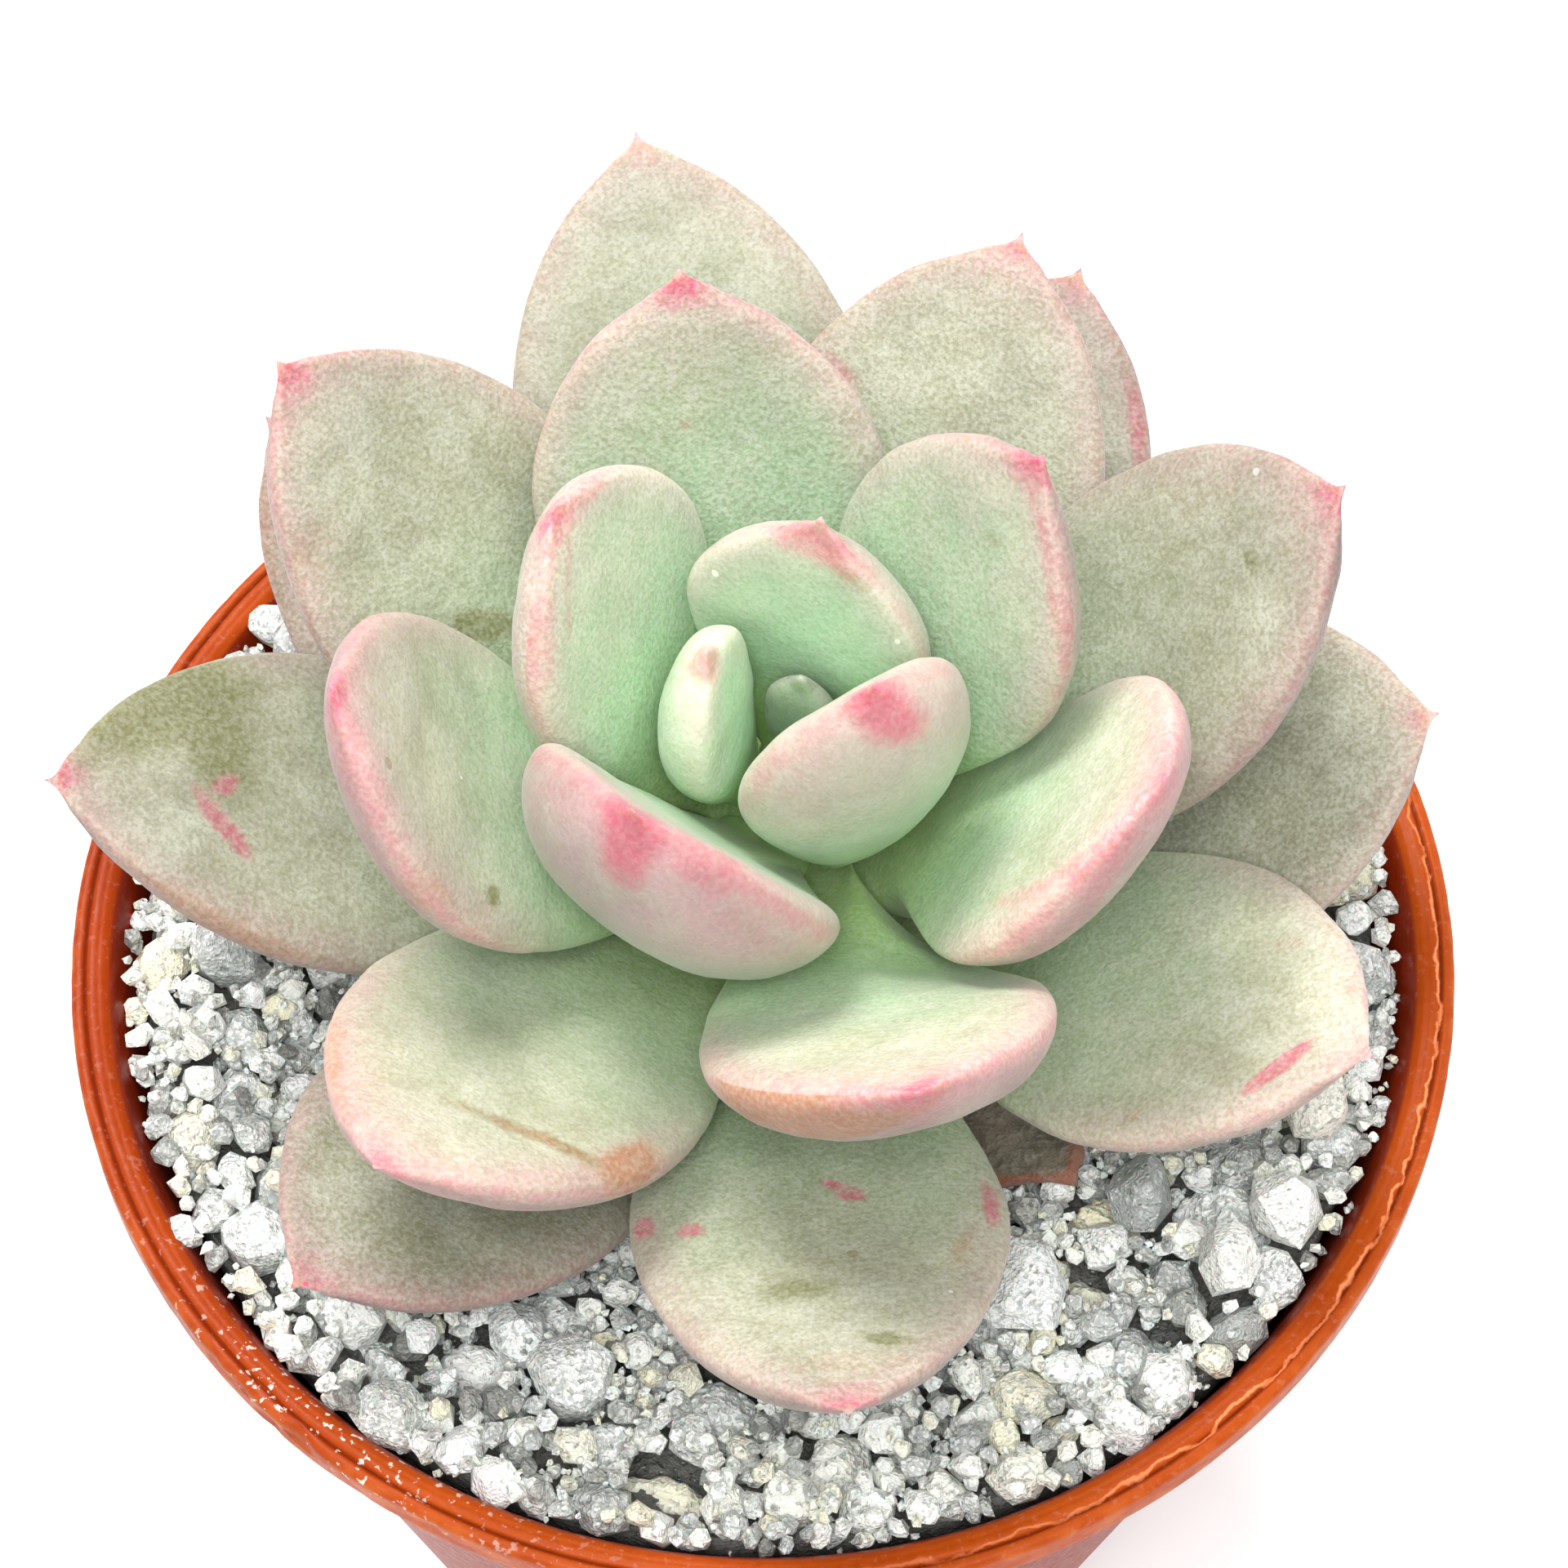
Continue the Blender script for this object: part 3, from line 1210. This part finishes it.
# Greyness, grain, blush and shade of each leaf, by its place on the spiral.
LEAF_TRAITS = {
    0: (0.00, 0.30, 0.00, 0.52),
    1: (0.00, 0.35, 0.15, 1.18),
    2: (0.10, 0.35, 0.60, 0.95),
    3: (0.00, 0.45, 0.40, 0.92),
    4: (0.20, 0.35, 1.00, 0.84),
    5: (0.25, 0.70, 0.70, 0.77),
    6: (0.20, 0.70, 0.60, 1.08),
    7: (0.58, 0.55, 1.20, 0.99),
    9: (0.56, 0.55, 1.10, 0.90),
    10: (0.52, 0.55, 1.10, 1.03),
    11: (0.35, 0.85, 0.80, 0.82),
    12: (0.70, 0.60, 0.90, 0.88),
    13: (0.80, 0.85, 0.80, 0.65),
    14: (0.75, 0.85, 0.90, 0.77),
    15: (0.75, 0.80, 0.48, 0.75),
    16: (0.80, 0.95, 0.80, 0.74),
    17: (0.90, 0.80, 0.60, 0.64),
    18: (0.70, 0.75, 0.60, 0.90),
    19: (0.70, 0.85, 0.50, 0.72),
    20: (0.95, 1.00, 0.90, 0.60),
    21: (0.95, 1.00, 0.40, 0.73),
    22: (0.90, 1.00, 0.90, 0.60),
    23: (1.00, 1.00, 0.00, 1.00),
    24: (0.85, 1.00, 0.90, 0.57),
}


def dress_leaf(piece, number, length):
    """Stores what the leaf's material reads: where each point is on the leaf, traits and marks."""
    mesh = piece.data
    points = points_of(mesh)
    place = stored(mesh, "place")
    across, along, side = place.T
    steps = 60
    rows = np.clip((along * steps).astype(int), 0, steps)
    half = np.zeros(steps + 1)
    for row in range(steps + 1):
        here = points[rows == row]
        if len(here) > 2:
            offsets = here - here.mean(axis=0)
            axis = np.linalg.svd(offsets, full_matrices=False)[2][0]
            half[row] = np.abs(offsets @ axis).max()
    filled = np.nonzero(half)[0]
    half = np.interp(np.arange(steps + 1), filled, half[filled]) / MM
    width = np.interp(along * steps, np.arange(steps + 1), half)
    store(mesh, "margin", width * (1 - np.abs(across)) + 0.12 * np.abs(side))
    store(mesh, "to_tip", np.linalg.norm(points - points[np.argmax(along)], axis=1) / MM)
    store(mesh, "off_keel", np.abs(across) * width)
    *traits, depth = LEAF_TRAITS[number]
    store_same(mesh, "traits", traits)
    store(mesh, "shade", np.full(len(points), depth))
    store(mesh, "marks", mark_leaf(number, place, width, length / MM))


def leaf_skin_group(settings):
    """The leaf's skin: green that greys with age, wax bloom, blushing edges and a pink tip."""
    net = Group("leaf_skin", {"Vector": None, "Blush": 1.0}, SURFACE)
    read, times, plus, coat = net.attribute, net.times, net.plus, net.coat
    spread, fade, between = net.spread, net.fade, net.between

    def patches(*values):
        return net.speckle(net.place, *values)

    along, side = net.parts(read("place", "Vector"))[1:3]
    grey, grain, flushed = net.parts(read("traits", "Vector"))
    margin, to_tip, off_keel = read("margin"), read("to_tip"), read("off_keel")
    back = fade(side, 0.05, -0.45)
    wide = patches(170.0, 0.35, 0.65, 3.0)
    cloud = patches(480.0, 0.42, 0.62, 4.0)
    wisps = patches(1300.0, 0.44, 0.64, 4.0)
    fine = patches(4800.0, 0.36, 0.64, 3.0)
    outward = fade(along, 0.25, 0.85)

    # Green body: deeper at the foot, greyer with age and further out.
    net.colour = settings.foot
    coat(settings.mint, fade(along, 0.18, 0.58))
    greyed = times(grey, between(outward, 0.30, 1.2))
    coat(settings.sage, plus(greyed, times(wide, outward, 0.38), clamp=True))
    coat(settings.old, spread(grey, 0.55, 1.0), between(wide, 0.30, 0.8))

    # Bloom in clouds and wisps, rosy on the backs.
    bloom = times(plus(times(cloud, 0.55), times(wisps, 0.30)), outward)
    bloom = plus(bloom, times(spread(along, 0.70, 0.98), 0.35), clamp=True)
    coat(settings.bloom, bloom, spread(grey, 0.0, 0.4, 0.45, 1.0))
    rosy = times(back, fade(along, 0.45, 0.82), between(cloud, 1.0, 0.6), flushed)
    flush = net.blend(spread(grey, 0.2, 0.5), settings.flush, (0.38, 0.245, 0.215))
    coat(flush, net.math("MULTIPLY", rosy, 0.95, clamp=True))

    # Blush: a cream zone, then pink that fades away from the tip, and a narrow rosy edge.
    out_of_foot = fade(along, 0.35, 0.65)
    cream = times(fade(margin, 2.8, 0.4), out_of_foot, between(cloud, 1.0, 0.6))
    edge = net.blend(grey, (0.63, 0.56, 0.52), (0.45, 0.36, 0.31))
    coat(edge, cream, between(back, 0.65, 0.3))
    near = spread(to_tip, 19.0, 4.0, 0.30, 1.0)
    uneven = times(margin, between(wide, 0.45, 1.5))
    band = times(net.math("POWER", 0.42, uneven), near, between(wisps, 1.0, 0.6))
    blushed = plus(times(band, 0.8), net.math("POWER", 0.56, to_tip))
    blushed = times(blushed, out_of_foot, flushed)
    coat(settings.blush, net.math("MULTIPLY", blushed, net.entry["Blush"], clamp=True))
    line = times(fade(margin, 0.35, 0.08), out_of_foot, flushed, near)
    coat((0.60, 0.26, 0.29), line, between(wisps, 0.7, 0.3))
    keel = times(fade(off_keel, 1.3, 0.1), fade(to_tip, 4.0, 0.8), back)
    keel = times(keel, between(wisps, 0.8, 0.3), flushed)
    coat((0.66, 0.17, 0.22), net.math("MULTIPLY", keel, 0.8, clamp=True))
    ragged = plus(to_tip, times(cloud, 0.7))
    coat(settings.tip, fade(ragged, 2.2, 0.6), spread(flushed, 0.1, 0.6))

    # Marks, broken up by noise.
    marks = net.parts(read("marks", "Vector"))
    breaks = patches(1500.0, 0.30, 0.70, 4.0)
    tints = ((GREEN, (0.22, 0.22, 0.07)), (TAN, (0.46, 0.19, 0.10)), (PINK, (0.62, 0.14, 0.20)))
    for kind, tint in tints:
        coat(tint, net.minus(times(marks[kind], 1.3), times(breaks, 0.35), clamp=True), 0.88)

    # Velvet grain, pale grains of dust and a few dark specks.
    coat((0.84, 0.86, 0.74), fine, grain, 0.34)
    coat((0.24, 0.27, 0.13), patches(6200.0, 0.46, 0.62, 2.0), grain, 0.42)
    coat((0.90, 0.88, 0.84), net.dots(net.place, 450.0, 0.07, 0.22), 0.8)
    coat((0.26, 0.20, 0.10), net.dots(net.place, 300.0, 0.09, 0.07), 0.5)
    dull_back = net.minus(1.0, times(back, grey, 0.55))
    drift = between(patches(260.0, 0.32, 0.68, 3.0), 0.92, 1.07)
    depth = times(read("shade"), dull_back, drift)
    relief = plus(times(cloud, 1.5), times(fine, between(grain, 0.4, 1.0)))
    return net.leave(
        Color=net.vector("MULTIPLY", net.colour, depth),
        Height=net.minus(relief, marks[PINK]),
        Roughness=between(fine, 0.40, 0.58),
    )


def leaf_material(name, group, blush, plain):
    net = Finish(name, plain)
    made = net.use(group, {"Vector": net.place, "Blush": blush})
    net.colour = made["Color"]
    return net.done(made["Height"], 0.35, 0.06 * MM, made["Roughness"])


def withered_material(settings):
    """Dried brown skin with pale grain and a crisp reddish edge."""
    plain = {"Roughness": 0.65, "Sheen Weight": 0.2, "Subsurface Weight": 0.05}
    net = Finish("withered_leaf", plain)
    wide = net.speckle(net.place, 420.0, 0.35, 0.65, 4.0)
    fine = net.speckle(net.place, 3000.0, 0.40, 0.70, 4.0)
    net.colour = settings.withered
    net.coat((0.17, 0.13, 0.09), wide)
    net.coat((0.42, 0.39, 0.32), fine, 0.35)
    net.coat((0.30, 0.07, 0.03), net.fade(net.attribute("margin"), 0.9, 0.1), 0.8)
    return net.done(net.plus(wide, fine), 0.9, 0.15 * MM)


def stem_material():
    """Greenish brown bark with fine grain."""
    net = Finish("stem_skin", {"Roughness": 0.7, "Subsurface Weight": 0.05})
    wide = net.speckle(net.place, 500.0, 0.35, 0.65, 3.0)
    fine = net.speckle(net.place, 2600.0, 0.40, 0.70, 3.0)
    net.colour = (0.34, 0.36, 0.16)
    net.coat((0.36, 0.26, 0.17), wide)
    net.coat((0.22, 0.15, 0.09), fine, 0.5)
    return net.done(net.plus(wide, fine), 0.7, 0.15 * MM)


SKIN = {
    "Subsurface Weight": 0.4,
    "Subsurface Radius": (0.8, 1.0, 0.4),
    "Subsurface Scale": 1.8 * MM,
    "Sheen Weight": 0.12,
    "Sheen Roughness": 0.4,
    "Specular IOR Level": 0.35,
}


# Lumps on a skin and their heights: large swells, small ones, and grain.
LIVE_RELIEF = ((5.0 * MM, 0.16 * MM), (1.6 * MM, 0.05 * MM), (0.6 * MM, 0.015 * MM))
DRIED_RELIEF = ((2.6 * MM, 0.7 * MM), (1.1 * MM, 0.35 * MM), (0.5 * MM, 0.12 * MM))


class SUCCULENT_OT_leaves(bpy.types.Operator):
    """Grows every leaf's skin over its solid: buds, grown leaves and the withered one"""

    bl_idname = "succulent.leaves"
    bl_label = "Leaves"

    def execute(self, context):
        settings = context.scene.succulent_leaf
        skin = leaf_skin_group(settings)
        waxed = {**SKIN, "Coat Weight": 0.08, "Coat Roughness": 0.35}
        young = leaf_material("young_leaf", skin, 0.85, waxed)
        grown = leaf_material("grown_leaf", skin, 1.0, SKIN)
        dried = withered_material(settings)
        root = Vector((STEM_MIDDLE.x, STEM_MIDDLE.y, BED_HIGH.z + 2 * MM))
        for node in LEAF_NODES:
            number = int(node[-2:])
            pointed = number > 0  # the bud in the middle keeps its round end
            leaf, length = leaf_cage(node, f"leaf_skin_{number:02d}", root, pointed)
            modify(leaf, "SUBSURF", levels=settings.smoothing, render_levels=settings.smoothing)
            if pointed:
                fit_cage(leaf)
            apply_modifiers(leaf)
            along = stored(leaf.data, "place")[:, 1]
            if pointed:
                points = points_of(leaf.data)
                tip = points[np.argmax(along)].copy()
                move_points(leaf.data, sharpen_tip(points, tip, min(1.5 * MM, length * 0.08)))
            if node == WITHERED_LEAF:
                roughen(leaf.data, DRIED_RELIEF)
            else:
                roughen(leaf.data, LIVE_RELIEF, np.clip(along * 4 - 0.6, 0, 1))
            dress_leaf(leaf, number, length)
            shade(leaf)
            if node == WITHERED_LEAF:
                claim(leaf, "withered_leaf", dried, node)
            elif node in YOUNG_LEAVES:
                claim(leaf, "young_leaf", young, node)
            else:
                claim(leaf, "grown_leaf", grown, node)
        return {"FINISHED"}


class SUCCULENT_OT_stem(bpy.types.Operator):
    """Smooths the stem and gives it uneven bark"""

    bl_idname = "succulent.stem"
    bl_label = "Stem"

    def execute(self, context):
        stem = copy_of_node("stem", "stem_core")
        modify(stem, "SUBSURF", subdivision_type="SIMPLE", levels=3, render_levels=3)
        apply_modifiers(stem)
        roughen(stem.data, ((1.4 * MM, 0.12 * MM), (0.5 * MM, 0.05 * MM)))
        shade(stem)
        claim(stem, "stem_skin", stem_material(), "stem")
        return {"FINISHED"}


# ---------------------------------------------------------------------------
# The stage

# Name, place, size, share of the main light's power, and colour.
LIGHTS = (
    ("key_light", (-0.12, 0.20, 0.44), 0.20, 1.0, (1.0, 0.99, 0.97)),
    ("front_light", (-0.02, -0.22, 0.50), 0.24, 1.0, (0.99, 1.0, 1.0)),
    ("side_light", (0.40, 0.14, 0.26), 0.35, 0.2, (0.97, 0.985, 1.0)),
)
# The camera looks down by the drop and is rolled a little, both in radians.
CAMERA_PLACE = (0.75 * MM, -80.37 * MM, 199.50 * MM)
CAMERA_DROP = 1.0426
CAMERA_ROLL = 0.01
CAMERA_LENS = 97.86


def aim(thing, place, target):
    thing.location = place
    thing.rotation_euler = (Vector(target) - Vector(place)).to_track_quat("-Z", "Y").to_euler()


class SUCCULENT_OT_stage(bpy.types.Operator):
    """Lays the pale floor and sets the lights and the camera"""

    bl_idname = "succulent.stage"
    bl_label = "Stage"

    def execute(self, context):
        settings = context.scene.succulent_stage
        only()
        bpy.ops.mesh.primitive_plane_add(size=6.0)
        floor = named("studio_floor")
        net = Finish("studio_floor", {"Roughness": 0.9, "Specular IOR Level": 0.1})
        net.colour = settings.floor_tone
        paler = [min(1.0, part * 1.03) for part in settings.floor_tone]
        net.coat(paler, net.speckle(net.place, 9.0, 0.3, 0.7, 2.0))
        floor.data.materials.append(net.done())

        target = (0.0, 0.0, (CAD_BOX[0][2] + CAD_BOX[1][2]) / 2)
        for name, spot, size, share, tint in LIGHTS:
            light = bpy.data.lights.new(name, "AREA")
            light.shape = "DISK"
            light.size = size
            light.energy = settings.key_power * share
            light.color = tint
            aim(new_object(name, light), spot, target)

        world = bpy.data.worlds.new("studio")
        world.use_nodes = True
        sky = world.node_tree.nodes["Background"].inputs
        sky["Color"].default_value = (1.0, 1.0, 1.0, 1.0)
        sky["Strength"].default_value = settings.sky_strength
        context.scene.world = world
        context.scene.view_settings.view_transform = "Standard"

        forward = Vector((0.0, math.cos(CAMERA_DROP), -math.sin(CAMERA_DROP)))
        side = Vector((1.0, 0.0, 0.0))
        up = side.cross(forward)
        c, s = math.cos(CAMERA_ROLL), math.sin(CAMERA_ROLL)
        right, top = c * side + s * up, c * up - s * side
        camera = new_object("camera", bpy.data.cameras.new("camera"))
        turn = Matrix((right, top, -forward)).transposed()
        camera.matrix_world = Matrix.Translation(CAMERA_PLACE) @ turn.to_4x4()
        camera.data.lens = CAMERA_LENS
        camera.data.sensor_width = 36.0
        camera.data.clip_start = 1.0 * MM
        camera.data.clip_end = 20.0
        context.scene.camera = camera
        return {"FINISHED"}


# ---------------------------------------------------------------------------
# Sidebar and registration

STEPS = (
    (SUCCULENT_OT_fill, "succulent_grit"),
    (SUCCULENT_OT_pot, "succulent_pot"),
    (SUCCULENT_OT_stones, "succulent_grit"),
    (SUCCULENT_OT_gravel, "succulent_grit"),
    (SUCCULENT_OT_stem, "succulent_leaf"),
    (SUCCULENT_OT_leaves, "succulent_leaf"),
    (SUCCULENT_OT_stage, "succulent_stage"),
)
SETTINGS = (
    ("succulent_pot", PotSettings),
    ("succulent_grit", GritSettings),
    ("succulent_leaf", LeafSettings),
    ("succulent_stage", StageSettings),
)


class SUCCULENT_PT_panel(bpy.types.Panel):
    """Sizes and colours of the potted succulent, and a button for each step"""

    bl_idname = "SUCCULENT_PT_panel"
    bl_label = "Potted succulent"
    bl_space_type = "VIEW_3D"
    bl_region_type = "UI"
    bl_category = "Succulent"

    def draw(self, context):
        for name, group in SETTINGS:
            box = self.layout.box()
            settings = getattr(context.scene, name)
            for key in group.__annotations__:
                box.prop(settings, key)
            for operator, owner in STEPS:
                if owner == name:
                    box.operator(operator.bl_idname)


CLASSES = (
    *(group for _, group in SETTINGS),
    *(operator for operator, _ in STEPS),
    SUCCULENT_PT_panel,
)


def register():
    for cls in CLASSES:
        bpy.utils.register_class(cls)
    for name, group in SETTINGS:
        setattr(bpy.types.Scene, name, PointerProperty(type=group))


def unregister():
    for name, _ in SETTINGS:
        delattr(bpy.types.Scene, name)
    for cls in reversed(CLASSES):
        bpy.utils.unregister_class(cls)


def main():
    register()
    bpy.ops.succulent.fill()
    bpy.ops.succulent.pot()
    bpy.ops.succulent.stones()
    bpy.ops.succulent.gravel()
    bpy.ops.succulent.stem()
    bpy.ops.succulent.leaves()
    bpy.ops.succulent.stage()


if __name__ == "__main__":
    main()
